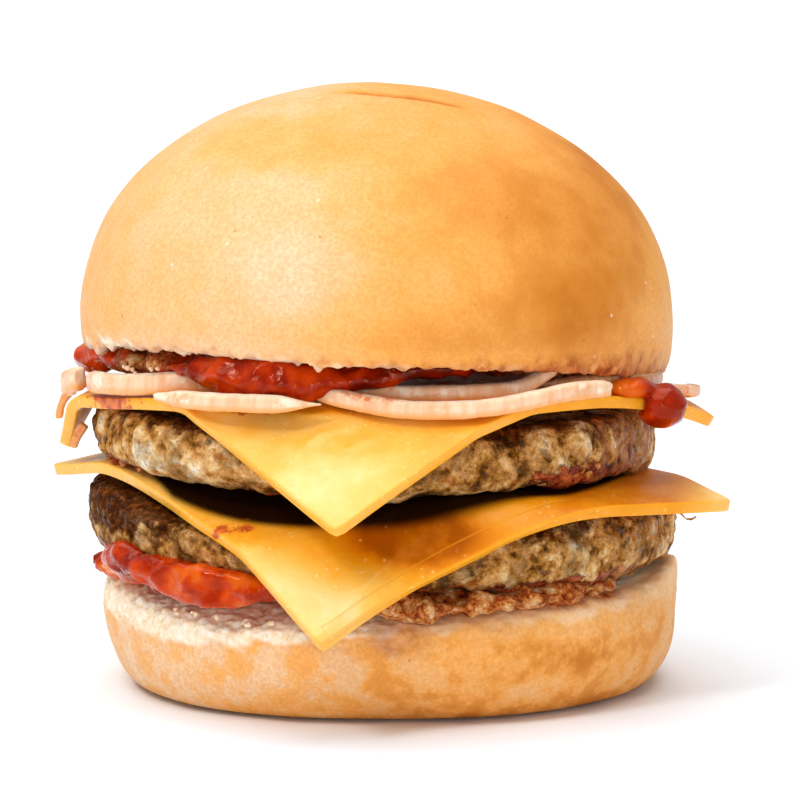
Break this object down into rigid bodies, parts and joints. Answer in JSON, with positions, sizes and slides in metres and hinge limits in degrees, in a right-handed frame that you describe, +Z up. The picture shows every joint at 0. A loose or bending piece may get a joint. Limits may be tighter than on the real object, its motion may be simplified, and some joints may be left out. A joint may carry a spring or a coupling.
{
  "type": "double cheeseburger",
  "caption": "Domed burger bun with stacked beef patties, cheese slices whose corners hang down, sliced onion and ketchup squeezed out round the edges.",
  "frame": {"origin": "under the middle of the whole outline, at the level of the heel's flat base", "axes": "+Z up through the crown, -Y towards the front, where a corner of each cheese slice hangs down, +X to the right of the front"},
  "size_m": [0.1222, 0.1222, 0.1085],
  "materials": {
    "bun_crust": "baked golden crust, softly satin, paler and torn at the cut edges",
    "beef": "coarse grilled minced beef, browned on the faces, slightly moist",
    "cheddar": "smooth processed cheese, waxy satin",
    "onion": "wet, slightly translucent onion flesh",
    "ketchup": "wet, glossy tomato ketchup"
  },
  "bodies": {
    "root": {"bun_heel": "bun_crust", "ketchup_lower": "ketchup", "patty_lower": "beef", "cheese_lower": "cheddar", "patty_upper": "beef", "cheese_upper": "cheddar", "onion_front_left": "onion", "onion_front": "onion", "onion_right": "onion", "onion_left_end": "onion", "onion_left_top": "onion", "onion_left_under": "onion", "onion_left": "onion", "onion_front_right": "onion", "onion_right_end": "onion", "onion_back_left": "onion", "onion_back_right": "onion", "onion_back": "onion", "ketchup_upper": "ketchup", "ketchup_drop": "ketchup", "bun_crown": "bun_crust"}
  },
  "joints": []
}
